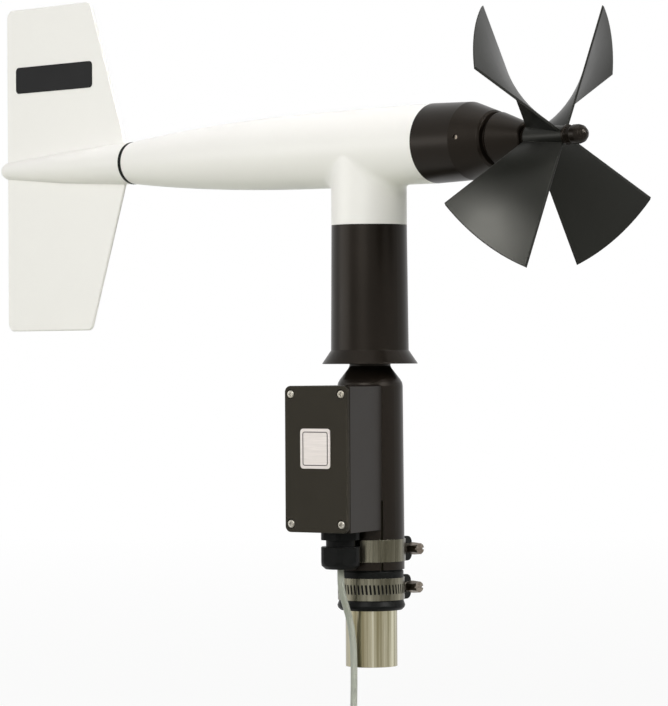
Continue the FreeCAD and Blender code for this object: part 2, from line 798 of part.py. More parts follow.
def make_pickup_coil():
    """Coil bobbin beside the magnet ring, standing on the nose cone's inner wall."""
    station = magnet_rear + magnet_width / 2
    low = axis_height - nose_inner_r + face_gap / 2
    height = nose_inner_r - magnet_r - 2 * face_gap
    cheek = height / 10

    def bobbin_rod(radius, start, length):
        return Part.makeCylinder(radius, length, vec(station, 0, low + start), UP)

    return bobbin_rod(height / 5, 0, height).fuse([
        bobbin_rod(height / 2, cheek, cheek), bobbin_rod(height / 2, height - 3 * cheek, cheek),
        bobbin_rod(height * 0.4, cheek, height - 3 * cheek)])


def make_rotating_cone():
    start = nose_end + cone_gap
    lip = cone_gap / 4
    cone = x_turned([(start, prop_shaft_r + seat), (start, nose_end_r - 2 * lip),
                     (start + lip, nose_end_r - lip), (cone_end - lip, cone_end_r),
                     (cone_end, cone_end_r - lip), (cone_end, prop_shaft_r + seat)])
    return cone.cut(x_tube(nose_boss_r, nose_boss_r / 2, start - 1, start + cone_gap))


# ------------------------------------------------------------------ propeller
def blade_section(angle, station_x):
    """Cut of one blade by a plane across the shaft: a slim bar from hub to tip."""
    inner_r = hub_front_r - blade_root_bury
    corners = [vec(station_x, -blade_root_thickness / 2, axis_height + inner_r),
               vec(station_x, blade_root_thickness / 2, axis_height + inner_r),
               vec(station_x, blade_tip_thickness / 2, axis_height + blade_tip_r),
               vec(station_x, -blade_tip_thickness / 2, axis_height + blade_tip_r)]
    bar = Part.makePolygon(corners + corners[:1])
    return bar.rotated(AXIS_POINT, NOSE, angle)


def make_blade(middle_angle):
    """Helicoid sheet: it moves along the shaft by one pitch in each full turn."""
    sections = []
    for i in range(blade_stations):
        sweep = blade_sweep * (i / (blade_stations - 1) - 0.5)
        station_x = blade_middle + helix_pitch * sweep / 360
        sections.append(blade_section(middle_angle + sweep, station_x))
    return Part.makeLoft(sections, True, False)


def make_propeller():
    lip = hub_lip / 2
    hub = x_turned([(hub_start, 0), (hub_start, hub_rear_r - lip), (hub_start + lip, hub_rear_r),
                    (hub_end - hub_front_r, hub_front_r), (hub_end, hub_front_r - lip / 2), (hub_end, 0)])
    blades = [make_blade(blade_rest_angle + 360 * i / blade_count) for i in range(blade_count)]
    rim = x_rod(blade_tip_r, blade_middle - 2 * blade_reach, blade_middle + 2 * blade_reach)
    shape = hub.fuse([blade.common(rim) for blade in blades])
    return shape.cut(x_rod(prop_shaft_r + seat, hub_start - 1, hub_end + 1))


def make_prop_washer():
    return x_tube(washer_r, prop_shaft_r + seat, cone_end + seat, hub_start - seat)


def make_propeller_nut():
    nut = hexagon(nut_flats, 0, nut_height).rotated(ORIGIN, vec(0, 1, 0), 90)
    nut = nut.translated(vec(nut_rear, 0, axis_height))
    flange = x_rod(nut_flange_r, nut_rear, nut_rear + nut_flange)
    overlap = nut_flange / 2
    dome = x_turned([(dome_start - overlap, 0), (dome_start - overlap, 0.84 * dome_r),
                     (dome_start + overlap, dome_r), (dome_start + 0.42 * dome_length, dome_r),
                     (dome_start + 0.68 * dome_length, 0.88 * dome_r),
                     (dome_start + 0.88 * dome_length, 0.58 * dome_r),
                     (dome_start + dome_length, 0.2 * dome_r), (dome_start + dome_length, 0)])
    shape = nut.fuse([flange, dome])
    return shape.cut(x_rod(prop_shaft_r + seat, nut_rear - 1, dome_start + prop_shaft_r + seat))


# ---------------------------------------------------------------------- cable
cable_route = [vec(6.74, -34.65, 69.0), vec(6.74, -34.65, 60.5), vec(6.3, -34.0, 53.4),
               vec(5.4, -31.4, 46.4), vec(4.4, -27.4, 39.2), vec(3.4, -23.7, 32.0),
               vec(3.12, -21.26, 24.0), vec(3.55, -20.14, 13.0), vec(3.91, -20.21, 0.0),
               vec(4.54, -20.99, -14.0), vec(5.32, -22.19, -28.0), vec(6.23, -23.53, -41.8)]
coil_outer_r = 37.8
coil_inner_r = 18.9
coil_half_thickness = 9.4
coil_rim_r = 5.0
coil_centre = vec(3.4, -27.0, -80.0)
tie_width = 5.0
tie_thickness = 1.2


def smooth_path(points, share):
    """Straight runs joined by the largest tangent arcs that the runs leave room for."""
    edges = []
    start = points[0]
    for i in range(1, len(points) - 1):
        before = points[i] - points[i - 1]
        after = points[i + 1] - points[i]
        reach = share * min(before.Length, after.Length)
        half_turn = before.getAngle(after) / 2
        radius = reach / math.tan(half_turn)
        print("cable bend", i, "radius", round(radius, 1))
        into = points[i] - before.normalize() * reach
        out = points[i] + after.normalize() * reach
        middle = (into + out) / 2
        inward = (middle - points[i]).normalize()
        arc_centre = points[i] + inward * (radius / math.cos(half_turn))
        arc_point = arc_centre - inward * radius
        edges.append(Part.LineSegment(start, into).toShape())
        edges.append(Part.Arc(into, arc_point, out).toShape())
        start = out
    edges.append(Part.LineSegment(start, points[-1]).toShape())
    return Part.Wire(edges)


def make_signal_cable():
    path = smooth_path(cable_route, cable_bend_share)
    direction = cable_route[1] - cable_route[0]
    section = Part.Wire(Part.makeCircle(cable_r, cable_route[0], direction))
    cable = path.makePipeShell([section], True, False)
    expected = math.pi * cable_r ** 2 * path.Length
    print("cable length", round(path.Length, 1), "volume ratio", round(cable.Volume / expected, 4))
    return cable


def make_cable_coil():
    """Closed outer shape of the put-away turns, hanging upright in the XZ plane."""
    ring = tube(coil_outer_r, coil_inner_r, -coil_half_thickness, coil_half_thickness)
    rims = [e for e in ring.Edges if len(e.Vertexes) == 1]
    ring = ring.makeFillet(coil_rim_r, rims)
    return ring.rotated(ORIGIN, NOSE, 90).translated(coil_centre)


def make_coil_ties():
    """Two flat straps round the bundle of turns, one at its side and one at its foot."""
    depth = coil_outer_r - coil_inner_r
    room_half = coil_half_thickness + seat
    room = tube(coil_outer_r + seat, coil_inner_r - seat, -room_half, room_half)
    strap = block(depth + 2 * tie_thickness, tie_width, 2 * (room_half + tie_thickness),
                  coil_inner_r + depth / 2, 0, -room_half - tie_thickness)
    side_tie = strap.cut(room).rotated(ORIGIN, NOSE, 90)
    foot_tie = side_tie.rotated(ORIGIN, vec(0, 1, 0), 90)
    return Part.makeCompound([tie.translated(coil_centre) for tie in (side_tie, foot_tie)])


pieces = {
    "mast_pipe": make_mast_pipe(),
    "mounting_post": make_mounting_post(),
    "vertical_shaft": make_vertical_shaft(),
    "azimuth_sensor": make_azimuth_sensor(),
    "box_cover": make_box_cover(),
    "cover_gasket": make_cover_gasket(),
    "cover_screws": make_cover_screws(),
    "blank_plate": make_blank_plate(),
    "terminal_board": make_terminal_board(),
    "terminal_block": make_terminal_block(),
    "gland_body": make_gland_body(),
    "gland_nut": make_gland_nut(),
    "gland_seal": make_gland_seal(),
    "upper_band": make_band(post_clamp_r + seat, upper_band_bottom, upper_clamp_heading + 150, 16),
    "upper_clamp_housing": make_clamp_housing(post_clamp_r + seat, upper_band_bottom,
                                              upper_clamp_heading),
    "upper_clamp_screw": make_clamp_screw(post_clamp_r + seat, upper_band_bottom,
                                          upper_clamp_heading),
    "lower_band": make_band(ring_body_r + seat, lower_band_bottom, lower_clamp_heading, band_slots),
    "lower_clamp_housing": make_clamp_housing(ring_body_r + seat, lower_band_bottom,
                                              lower_clamp_heading),
    "lower_clamp_screw": make_clamp_screw(ring_body_r + seat, lower_band_bottom,
                                          lower_clamp_heading),
    "orientation_ring": make_orientation_ring(),
    "signal_cable": make_signal_cable(),
    "cable_coil": make_cable_coil(),
    "coil_ties": make_coil_ties(),
    "main_housing": make_main_housing(),
    "housing_skirt": make_housing_skirt(),
    "lower_yaw_bearing": make_yaw_bearing(lower_bearing_bottom),
    "upper_yaw_bearing": make_yaw_bearing(upper_bearing_bottom),
    "sensor_coupling": make_sensor_coupling(),
    "tail_joint_ring": make_tail_joint_ring(),
    "tail_vane": make_tail_vane(),
    "vane_panel": make_vane_panel(),
    "nose_cone": make_nose_cone(),
    "nose_screw": make_nose_screw(),
    "pickup_coil": make_pickup_coil(),
    "rear_prop_bearing": make_prop_bearing(nose_end - nose_bulkhead),
    "front_prop_bearing": make_prop_bearing(nose_end - prop_bearing_width + face_gap),
    "propeller_shaft": make_prop_shaft(),
    "magnet_ring": make_magnet_ring(),
    "rotating_cone": make_rotating_cone(),
    "propeller_washer": make_prop_washer(),
    "propeller": make_propeller(),
    "propeller_nut": make_propeller_nut(),
}

os.makedirs("parts", exist_ok=True)
for node, shape in pieces.items():
    save(node, shape)
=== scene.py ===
import json
import math

import bmesh
import bpy
from mathutils import Matrix, Vector


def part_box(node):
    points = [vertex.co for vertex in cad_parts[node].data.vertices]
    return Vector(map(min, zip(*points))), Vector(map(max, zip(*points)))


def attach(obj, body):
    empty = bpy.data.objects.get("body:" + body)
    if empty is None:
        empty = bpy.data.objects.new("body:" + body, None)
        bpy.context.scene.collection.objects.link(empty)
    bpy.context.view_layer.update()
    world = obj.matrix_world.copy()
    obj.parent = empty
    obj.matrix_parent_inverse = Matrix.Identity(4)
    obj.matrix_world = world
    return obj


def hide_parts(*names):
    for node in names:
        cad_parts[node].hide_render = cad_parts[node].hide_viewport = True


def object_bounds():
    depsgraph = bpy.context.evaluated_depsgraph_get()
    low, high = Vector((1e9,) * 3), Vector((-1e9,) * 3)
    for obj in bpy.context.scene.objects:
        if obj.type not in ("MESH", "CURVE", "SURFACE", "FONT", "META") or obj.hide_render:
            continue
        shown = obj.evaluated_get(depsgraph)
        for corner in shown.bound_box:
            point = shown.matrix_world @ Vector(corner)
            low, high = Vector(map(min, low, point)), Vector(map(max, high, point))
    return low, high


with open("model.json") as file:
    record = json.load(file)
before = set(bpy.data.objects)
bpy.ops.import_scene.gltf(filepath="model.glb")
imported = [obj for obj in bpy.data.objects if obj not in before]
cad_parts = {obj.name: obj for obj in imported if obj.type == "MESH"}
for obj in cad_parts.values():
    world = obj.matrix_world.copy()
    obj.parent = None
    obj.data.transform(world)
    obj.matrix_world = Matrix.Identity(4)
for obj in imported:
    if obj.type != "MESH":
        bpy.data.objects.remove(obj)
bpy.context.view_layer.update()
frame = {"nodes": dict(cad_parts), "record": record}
slotOf = {part["node"]: part["material_slot"] for part in frame["record"]["subparts"]}
print("frame loaded:", len(frame["nodes"]), "nodes")


# small helpers for node trees
def addNode(tree, kind, values=None, **settings):
    node = tree.nodes.new(kind)
    for name, value in settings.items():
        setattr(node, name, value)
    for socket, value in (values or {}).items():
        if hasattr(value, "is_output"):
            tree.links.new(value, node.inputs[socket])
        else:
            node.inputs[socket].default_value = value
    return node


def mathNode(tree, operation, first, second=0.0, clamp=False):
    node = addNode(tree, "ShaderNodeMath", {0: first, 1: second}, operation=operation)
    node.use_clamp = clamp
    return node.outputs[0]


def mixColor(tree, factor, low, high, blend="MIX"):
    node = addNode(tree, "ShaderNodeMix", data_type="RGBA", blend_type=blend)
    for socket, value in zip((node.inputs[0], node.inputs[6], node.inputs[7]), (factor, low, high)):
        if hasattr(value, "is_output"):
            tree.links.new(value, socket)
        else:
            socket.default_value = value
    return node.outputs[2]


def rampNode(tree, factor, stops):
    node = addNode(tree, "ShaderNodeValToRGB", {0: factor})
    ramp = node.color_ramp
    while len(ramp.elements) < len(stops):
        ramp.elements.new(0.5)
    for element, (position, color) in zip(ramp.elements, stops):
        element.position = position
        element.color = color if len(color) == 4 else (*color, 1)
    return node.outputs[0]


def newGroup(name, inputs, outputs):
    group = bpy.data.node_groups.new(name, "ShaderNodeTree")
    for label, default in inputs:
        kind = "NodeSocketVector" if hasattr(default, "__len__") else "NodeSocketFloat"
        socket = group.interface.new_socket(label, in_out="INPUT", socket_type=kind)
        socket.default_value = default
    for label, kind in outputs:
        group.interface.new_socket(label, in_out="OUTPUT", socket_type=kind)
    return group, group.nodes.new("NodeGroupInput"), group.nodes.new("NodeGroupOutput")


def useGroup(tree, group, values):
    return addNode(tree, "ShaderNodeGroup", values, node_tree=group)


# effects that several finishes share
effect = {
    "bevelSamples": 4,
    "edgeSharpness": 7.0,
    "patchStart": 0.38,
    "patchGain": 3.5,
    "broadShare": 0.13,  # size of the broad stains and painted reflection bands beside the fine lines
    "dustStart": 0.4,
    "dustGain": 2.5,
    "noiseSpan": (0.3, 0.7),  # where most of a noise texture's values lie
    "lineAndReflectionSpan": (0.32, 0.68),
    "stainAndReflectionSpan": (0.42, 0.62),
}


def buildMouldGrain():
    group, start, end = newGroup(
        "mouldGrain", [("Vector", (0, 0, 0)), ("Scale", 900.0), ("Cloud Scale", 14.0)],
        [("Height", "NodeSocketFloat"), ("Cloud", "NodeSocketFloat")])
    fine = addNode(group, "ShaderNodeTexNoise",
                   {"Vector": start.outputs["Vector"], "Scale": start.outputs["Scale"],
                    "Detail": 3.0, "Roughness": 0.6})
    cloud = addNode(group, "ShaderNodeTexNoise",
                    {"Vector": start.outputs["Vector"], "Scale": start.outputs["Cloud Scale"],
                     "Detail": 4.0, "Roughness": 0.55})
    group.links.new(fine.outputs[0], end.inputs["Height"])
    group.links.new(cloud.outputs[0], end.inputs["Cloud"])
    return group


def buildEdgeWear():
    group, start, end = newGroup("edgeWear", [("Radius", 0.0006), ("Patchiness", 260.0)],
                                 [("Mask", "NodeSocketFloat"), ("Normal", "NodeSocketVector")])
    rounded = addNode(group, "ShaderNodeBevel", {"Radius": start.outputs["Radius"]},
                      samples=effect["bevelSamples"])
    geometry = addNode(group, "ShaderNodeNewGeometry")
    facing = addNode(group, "ShaderNodeVectorMath",
                     {0: rounded.outputs[0], 1: geometry.outputs["Normal"]},
                     operation="DOT_PRODUCT")
    edge = mathNode(group, "SUBTRACT", 1.0, facing.outputs["Value"])
    edge = mathNode(group, "MULTIPLY", edge, effect["edgeSharpness"], clamp=True)
    coords = addNode(group, "ShaderNodeTexCoord")
    patches = addNode(group, "ShaderNodeTexNoise",
                      {"Vector": coords.outputs["Object"], "Scale": start.outputs["Patchiness"],
                       "Detail": 3.0})
    broken = mathNode(group, "SUBTRACT", patches.outputs[0], effect["patchStart"])
    broken = mathNode(group, "MULTIPLY", broken, effect["patchGain"], clamp=True)
    group.links.new(mathNode(group, "MULTIPLY", edge, broken), end.inputs["Mask"])
    group.links.new(rounded.outputs[0], end.inputs["Normal"])
    return group


# fine streak lines and broad stains: painted reflection bands on the mast pipe and the clamp bands,
# painted brown reflection on the cover screws, and drawn lines and real stains on the other metals
def buildStreaksAndReflectionBands():
    group, start, end = newGroup(
        "streaksAndReflectionBands", [("Vector", (0, 0, 0)), ("Stretch", (1, 1, 1)), ("Scale", 300.0)],
        [("Mask", "NodeSocketFloat"), ("Broad", "NodeSocketFloat")])
    stretched = addNode(group, "ShaderNodeVectorMath",
                        {0: start.outputs["Vector"], 1: start.outputs["Stretch"]},
                        operation="MULTIPLY")
    fine = addNode(group, "ShaderNodeTexNoise",
                   {"Vector": stretched.outputs[0], "Scale": start.outputs["Scale"],
                    "Detail": 4.0, "Roughness": 0.7})
    coarse = mathNode(group, "MULTIPLY", start.outputs["Scale"], effect["broadShare"])
    broad = addNode(group, "ShaderNodeTexNoise",
                    {"Vector": stretched.outputs[0], "Scale": coarse, "Detail": 2.0})
    group.links.new(fine.outputs[0], end.inputs["Mask"])
    group.links.new(broad.outputs[0], end.inputs["Broad"])
    return group


def buildDust():
    group, start, end = newGroup("settledDust", [("Amount", 0.3), ("Scale", 60.0)],
                                 [("Mask", "NodeSocketFloat")])
    geometry = addNode(group, "ShaderNodeNewGeometry")
    upward = addNode(group, "ShaderNodeSeparateXYZ", {0: geometry.outputs["Normal"]})
    level = mathNode(group, "MULTIPLY", upward.outputs["Z"], 1.0, clamp=True)
    coords = addNode(group, "ShaderNodeTexCoord")
    specks = addNode(group, "ShaderNodeTexNoise",
                     {"Vector": coords.outputs["Object"], "Scale": start.outputs["Scale"],
                      "Detail": 6.0, "Roughness": 0.7})
    loose = mathNode(group, "SUBTRACT", specks.outputs[0], effect["dustStart"])
    loose = mathNode(group, "MULTIPLY", loose, effect["dustGain"], clamp=True)
    mask = mathNode(group, "MULTIPLY", mathNode(group, "MULTIPLY", level, loose),
                    start.outputs["Amount"])
    group.links.new(mask, end.inputs["Mask"])
    return group


mouldGrain = buildMouldGrain()
edgeWear = buildEdgeWear()
streaksAndReflectionBands = buildStreaksAndReflectionBands()
settledDust = buildDust()
print("shared effects built")


def newMaterial(name):
    material = bpy.data.materials.new(name)
    material.use_nodes = True
    tree = material.node_tree
    shader = tree.nodes["Principled BSDF"]
    coords = addNode(tree, "ShaderNodeTexCoord")
    return material, tree, shader, coords.outputs["Object"]


def bumpFrom(tree, shader, height, distance, strength, normal=None):
    bump = addNode(tree, "ShaderNodeBump",
                   {"Height": height, "Distance": distance, "Strength": strength})
    if normal:
        tree.links.new(normal, bump.inputs["Normal"])
    tree.links.new(bump.outputs[0], shader.inputs["Normal"])
    return bump


def mouldedPlastic(name, finish):
    material, tree, shader, coords = newMaterial(name)
    grain = useGroup(tree, mouldGrain, {"Vector": coords, "Scale": finish["grainScale"],
                                        "Cloud Scale": finish["cloudScale"]})
    wear = useGroup(tree, edgeWear, {"Radius": finish["edgeRadius"]})
    dust = useGroup(tree, settledDust, {"Amount": finish["dust"]})
    tone = mixColor(tree, grain.outputs["Cloud"], (*finish["dark"], 1), (*finish["light"], 1))
    tone = mixColor(tree, dust.outputs["Mask"], tone, (*finish["dustColor"], 1))
    tone = mixColor(tree, mathNode(tree, "MULTIPLY", wear.outputs["Mask"], finish["wear"]), tone,
                    (*finish["wearColor"], 1))
    tree.links.new(tone, shader.inputs["Base Color"])
    rough = addNode(tree, "ShaderNodeMapRange",
                    {"Value": grain.outputs["Cloud"], "From Min": effect["noiseSpan"][0],
                     "From Max": effect["noiseSpan"][1], "To Min": finish["roughness"][0],
                     "To Max": finish["roughness"][1]})
    tree.links.new(rough.outputs[0], shader.inputs["Roughness"])
    shader.inputs["IOR"].default_value = finish["ior"]
    shader.inputs["Specular IOR Level"].default_value = finish["specular"]
    shader.inputs["Specular Tint"].default_value = (*finish["gloss"], 1)
    bumpFrom(tree, shader, grain.outputs["Height"], finish["grainDepth"], finish["grainStrength"],
             wear.outputs["Normal"])
    return material


plasticFinish = {
    "white": {"dark": (0.85, 0.83, 0.795), "light": (0.90, 0.885, 0.855),
              "roughness": (0.30, 0.40), "grainScale": 700.0, "cloudScale": 9.0,
              "grainDepth": 0.00003, "grainStrength": 0.25, "edgeRadius": 0.0008, "wear": 0.25,
              "wearColor": (0.66, 0.66, 0.60), "dust": 0.05, "dustColor": (0.66, 0.63, 0.55),
              "ior": 1.45, "specular": 0.4, "gloss": (1.0, 1.0, 1.0)},
    "black": {"dark": (0.0045, 0.0034, 0.0024), "light": (0.0105, 0.0078, 0.0056),
              "roughness": (0.26, 0.34), "grainScale": 1100.0, "cloudScale": 18.0,
              "grainDepth": 0.00002, "grainStrength": 0.3, "edgeRadius": 0.0007, "wear": 0.35,
              "wearColor": (0.045, 0.038, 0.030), "dust": 0.06, "dustColor": (0.08, 0.07, 0.055),
              "ior": 1.40, "specular": 0.22, "gloss": (1.0, 0.89, 0.78)},
    "box": {"dark": (0.0260, 0.0230, 0.0180), "light": (0.0370, 0.0330, 0.0260),
            "roughness": (0.38, 0.48), "grainScale": 1500.0, "cloudScale": 24.0,
            "grainDepth": 0.00005, "grainStrength": 0.5, "edgeRadius": 0.0008, "wear": 0.45,
            "wearColor": (0.080, 0.072, 0.058), "dust": 0.08, "dustColor": (0.11, 0.10, 0.08),
            "ior": 1.40, "specular": 0.08, "gloss": (1.0, 0.90, 0.78)},
    "propeller": {"dark": (0.0060, 0.0062, 0.0052), "light": (0.0110, 0.0112, 0.0095),
                  "roughness": (0.30, 0.40), "grainScale": 1300.0, "cloudScale": 20.0,
                  "grainDepth": 0.00003, "grainStrength": 0.3, "edgeRadius": 0.0005,
                  "wear": 0.5, "wearColor": (0.09, 0.088, 0.078), "dust": 0.05,
                  "dustColor": (0.12, 0.115, 0.10), "ior": 1.40, "specular": 0.30,
                  "gloss": (1.0, 0.99, 0.90)},
    "sensor": {"dark": (0.05, 0.05, 0.055), "light": (0.08, 0.08, 0.085),
               "roughness": (0.45, 0.6), "grainScale": 1500.0, "cloudScale": 40.0,
               "grainDepth": 0.00003, "grainStrength": 0.3, "edgeRadius": 0.0004, "wear": 0.3,
               "wearColor": (0.15, 0.15, 0.15), "dust": 0.1, "dustColor": (0.2, 0.2, 0.18),
               "ior": 1.5, "specular": 0.4, "gloss": (1.0, 1.0, 1.0)},
    "gland": {"dark": (0.0030, 0.0032, 0.0030), "light": (0.0062, 0.0066, 0.0060),
              "roughness": (0.34, 0.44), "grainScale": 1200.0, "cloudScale": 30.0,
              "grainDepth": 0.00003, "grainStrength": 0.3, "edgeRadius": 0.0007, "wear": 0.3,
              "wearColor": (0.035, 0.035, 0.032), "dust": 0.06, "dustColor": (0.07, 0.065, 0.055),
              "ior": 1.40, "specular": 0.10, "gloss": (1.0, 1.0, 1.0)},
    "panel": {"dark": (0.0030, 0.0030, 0.0032), "light": (0.0055, 0.0055, 0.0058),
              "roughness": (0.28, 0.36), "grainScale": 900.0, "cloudScale": 30.0,
              "grainDepth": 0.00001, "grainStrength": 0.15, "edgeRadius": 0.0004, "wear": 0.3,
              "wearColor": (0.03, 0.03, 0.03), "dust": 0.03, "dustColor": (0.07, 0.07, 0.065),
              "ior": 1.40, "specular": 0.12, "gloss": (1.0, 1.0, 1.0)},
    "rubber": {"dark": (0.0060, 0.0060, 0.0055), "light": (0.0110, 0.0110, 0.0100),
               "roughness": (0.45, 0.6), "grainScale": 1600.0, "cloudScale": 30.0,
               "grainDepth": 0.00006, "grainStrength": 0.5, "edgeRadius": 0.0004, "wear": 0.3,
               "wearColor": (0.04, 0.04, 0.036), "dust": 0.08, "dustColor": (0.08, 0.075, 0.065),
               "ior": 1.40, "specular": 0.14, "gloss": (1.0, 1.0, 1.0)},
    "board": {"dark": (0.015, 0.09, 0.04), "light": (0.025, 0.14, 0.06),
              "roughness": (0.3, 0.4), "grainScale": 1500.0, "cloudScale": 60.0,
              "grainDepth": 0.00003, "grainStrength": 0.3, "edgeRadius": 0.0004, "wear": 0.3,
              "wearColor": (0.3, 0.32, 0.2), "dust": 0.05, "dustColor": (0.2, 0.2, 0.18),
              "ior": 1.5, "specular": 0.4, "gloss": (1.0, 1.0, 1.0)},
}


def metalFinish(name, finish):
    material, tree, shader, coords = newMaterial(name)
    # streak and stain tones below: painted reflection on the pipe, bands and cover screws; real
    # drawn lines and stains on the other metals
    linesAndReflections = useGroup(tree, streaksAndReflectionBands, {"Vector": coords, "Stretch": finish["stretch"],
                                     "Scale": finish["lineAndReflectionScale"]})
    wear = useGroup(tree, edgeWear, {"Radius": finish["edgeRadius"]})
    drawnAndReflected = addNode(tree, "ShaderNodeMapRange",
                    {"Value": linesAndReflections.outputs["Mask"], "From Min": effect["lineAndReflectionSpan"][0],
                     "From Max": effect["lineAndReflectionSpan"][1]})
    tone = mixColor(tree, drawnAndReflected.outputs[0], (*finish["dark"], 1), (*finish["light"], 1))
    stainAndPaintedReflection = rampNode(tree, linesAndReflections.outputs["Broad"], [(effect["stainAndReflectionSpan"][0], (0, 0, 0)),
                                                    (effect["stainAndReflectionSpan"][1], (1, 1, 1))])
    tone = mixColor(tree, mathNode(tree, "MULTIPLY", stainAndPaintedReflection, finish["stainAndPaintedReflectionAmount"]), tone,
                    (*finish["stainAndPaintedReflection"], 1))
    tone = mixColor(tree, mathNode(tree, "MULTIPLY", wear.outputs["Mask"], finish["wear"]), tone,
                    (*finish["wearColor"], 1))
    tree.links.new(tone, shader.inputs["Base Color"])
    shader.inputs["Metallic"].default_value = finish["metallic"]
    rough = addNode(tree, "ShaderNodeMapRange",
                    {"Value": linesAndReflections.outputs["Mask"], "From Min": effect["noiseSpan"][0],
                     "From Max": effect["noiseSpan"][1], "To Min": finish["roughness"][0],
                     "To Max": finish["roughness"][1]})
    tree.links.new(rough.outputs[0], shader.inputs["Roughness"])
    bumpFrom(tree, shader, linesAndReflections.outputs["Mask"], finish["depth"], finish["strength"],
             wear.outputs["Normal"])
    return material


metalKinds = {
    # the cream-to-brown vertical streak tones and the brown stain here are painted reflection bands
    # on the polished pipe
    "pipe": {"dark": (0.22, 0.20, 0.11), "light": (0.86, 0.83, 0.66), "stainAndPaintedReflection": (0.17, 0.14, 0.07),
             "stainAndPaintedReflectionAmount": 0.7, "stretch": (1, 1, 0.012), "lineAndReflectionScale": 300.0,
             "roughness": (0.16, 0.30), "depth": 0.00002, "strength": 0.2, "metallic": 1.0,
             "edgeRadius": 0.0006, "wear": 0.5, "wearColor": (0.80, 0.78, 0.70)},
    # the dark olive tone and vertical streaks here are painted reflection, darker than the bands'
    # own steel
    "band": {"dark": (0.100, 0.095, 0.066), "light": (0.330, 0.312, 0.240),
             "stainAndPaintedReflection": (0.060, 0.055, 0.036), "stainAndPaintedReflectionAmount": 0.85, "stretch": (1, 1, 0.04),
             "lineAndReflectionScale": 420.0, "roughness": (0.22, 0.34), "depth": 0.00001, "strength": 0.2,
             "metallic": 1.0, "edgeRadius": 0.0003, "wear": 0.5, "wearColor": (0.5, 0.49, 0.42)},
    # the near-black tone here is a painted dark reflection, not the steel's own colour
    "clamp": {"dark": (0.008, 0.009, 0.008), "light": (0.020, 0.020, 0.018),
              "stainAndPaintedReflection": (0.006, 0.006, 0.005), "stainAndPaintedReflectionAmount": 0.3, "stretch": (1, 1, 8),
              "lineAndReflectionScale": 220.0, "roughness": (0.28, 0.40), "depth": 0.00002, "strength": 0.2,
              "metallic": 0.9, "edgeRadius": 0.0004, "wear": 0.4,
              "wearColor": (0.16, 0.155, 0.14)},
    "screw": {"dark": (0.15, 0.125, 0.10), "light": (0.30, 0.265, 0.225),
              "stainAndPaintedReflection": (0.09, 0.065, 0.045), "stainAndPaintedReflectionAmount": 0.4, "stretch": (1, 1, 1),
              "lineAndReflectionScale": 420.0, "roughness": (0.26, 0.38), "depth": 0.00001, "strength": 0.15,
              "metallic": 1.0, "edgeRadius": 0.0003, "wear": 0.5, "wearColor": (0.6, 0.57, 0.50)},
    # the brown stain here is a painted brown reflection on the bright screw heads
    "coverScrew": {"dark": (0.20, 0.19, 0.16), "light": (0.44, 0.42, 0.37),
                   "stainAndPaintedReflection": (0.22, 0.19, 0.14), "stainAndPaintedReflectionAmount": 0.4, "stretch": (1, 1, 1),
                   "lineAndReflectionScale": 420.0, "roughness": (0.24, 0.36), "depth": 0.00001,
                   "strength": 0.15, "metallic": 1.0, "edgeRadius": 0.0002, "wear": 0.4,
                   "wearColor": (0.75, 0.73, 0.68)},
    "plate": {"dark": (0.60, 0.55, 0.525), "light": (0.70, 0.645, 0.615),
              "stainAndPaintedReflection": (0.46, 0.42, 0.39), "stainAndPaintedReflectionAmount": 0.2, "stretch": (0.05, 0.05, 1),
              "lineAndReflectionScale": 1400.0, "roughness": (0.34, 0.46), "depth": 0.00001, "strength": 0.2,
              "metallic": 0.35, "edgeRadius": 0.0003, "wear": 0.5,
              "wearColor": (0.80, 0.78, 0.76)},
    "copper": {"dark": (0.42, 0.17, 0.06), "light": (0.68, 0.30, 0.12), "stainAndPaintedReflection": (0.2, 0.08, 0.03),
               "stainAndPaintedReflectionAmount": 0.3, "stretch": (0.05, 0.05, 1), "lineAndReflectionScale": 2600.0,
               "roughness": (0.25, 0.4), "depth": 0.00006, "strength": 0.6, "metallic": 0.9,
               "edgeRadius": 0.0003, "wear": 0.2, "wearColor": (0.9, 0.6, 0.4)},
    "magnet": {"dark": (0.10, 0.10, 0.10), "light": (0.18, 0.18, 0.175), "stainAndPaintedReflection": (0.2, 0.12, 0.06),
               "stainAndPaintedReflectionAmount": 0.2, "stretch": (1, 1, 1), "lineAndReflectionScale": 900.0,
               "roughness": (0.45, 0.6), "depth": 0.00005, "strength": 0.4, "metallic": 0.6,
               "edgeRadius": 0.0004, "wear": 0.5, "wearColor": (0.4, 0.4, 0.4)},
}


jacket = {"dark": (0.25, 0.26, 0.22), "light": (0.34, 0.35, 0.30), "roughness": (0.36, 0.6),
          "grainScale": 1400.0, "cloudScale": 45.0, "grainDepth": 0.00005, "grainStrength": 0.3,
          "dust": 0.2, "dustScale": 200.0, "dustColor": (0.24, 0.23, 0.19)}


def buildCableJacket(finish):
    material, tree, shader, coords = newMaterial("cableJacket")
    grain = useGroup(tree, mouldGrain, {"Vector": coords, "Scale": finish["grainScale"],
                                        "Cloud Scale": finish["cloudScale"]})
    dust = useGroup(tree, settledDust, {"Amount": finish["dust"], "Scale": finish["dustScale"]})
    tone = mixColor(tree, grain.outputs["Cloud"], (*finish["dark"], 1), (*finish["light"], 1))
    tone = mixColor(tree, dust.outputs["Mask"], tone, (*finish["dustColor"], 1))
    tree.links.new(tone, shader.inputs["Base Color"])
    rough = addNode(tree, "ShaderNodeMapRange",
                    {"Value": grain.outputs["Cloud"], "To Min": finish["roughness"][0],
                     "To Max": finish["roughness"][1]})
    tree.links.new(rough.outputs[0], shader.inputs["Roughness"])
    bumpFrom(tree, shader, grain.outputs["Height"], finish["grainDepth"], finish["grainStrength"])
    return material


